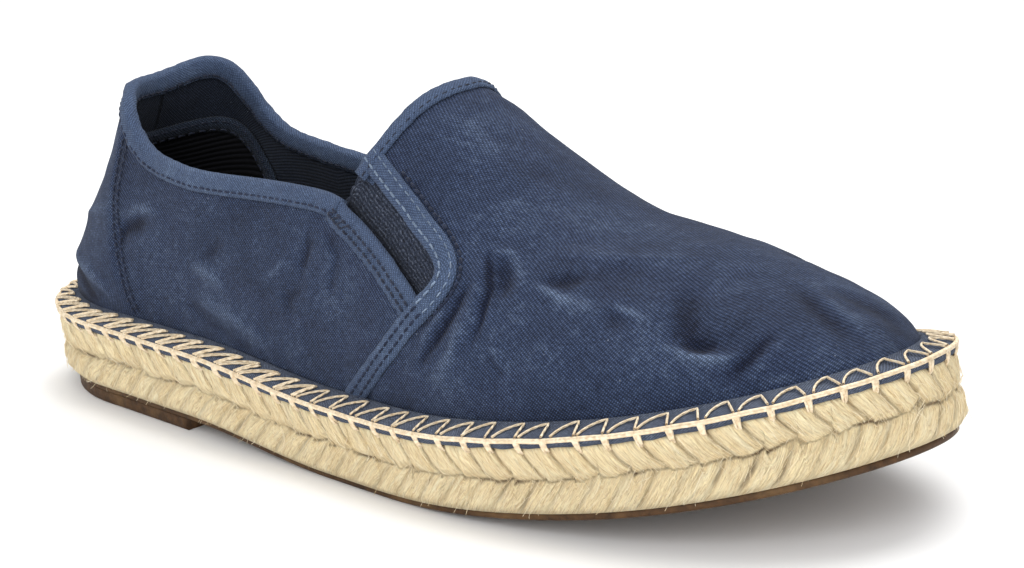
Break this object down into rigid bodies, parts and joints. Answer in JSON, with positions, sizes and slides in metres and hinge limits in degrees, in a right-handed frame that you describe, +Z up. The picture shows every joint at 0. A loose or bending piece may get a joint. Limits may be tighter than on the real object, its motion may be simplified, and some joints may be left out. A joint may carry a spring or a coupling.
{
  "type": "espadrille",
  "caption": "Slip-on espadrille for the right foot: canvas upper with taped edges and elastic side gores, on a braided jute sole with a thin rubber outsole.",
  "frame": {"origin": "on the floor, under the middle of the heel tread", "axes": "+X towards the toe, +Y towards the medial side of this right shoe, +Z up"},
  "size_m": [0.2847, 0.1077, 0.0947],
  "materials": {
    "rubber": "thin matt dark brown rubber",
    "jute": "coarse braided jute, straw coloured",
    "canvas": "washed navy cotton canvas",
    "insole": "dark ribbed footbed cloth",
    "tape": "paler blue woven cotton tape",
    "elastic": "dark ribbed elastic webbing"
  },
  "bodies": {
    "root": {"heel_pad": "rubber", "outsole": "rubber", "jute_sole": "jute", "foxing": "canvas", "insole": "insole", "upper": "canvas", "heel_counter": "canvas", "collar_binding": "tape", "throat_binding": "tape", "gore_lateral": "elastic", "gore_medial": "elastic", "vamp_tape_lateral": "tape", "vamp_tape_medial": "tape", "quarter_tape_lateral": "tape", "quarter_tape_medial": "tape"}
  },
  "joints": []
}
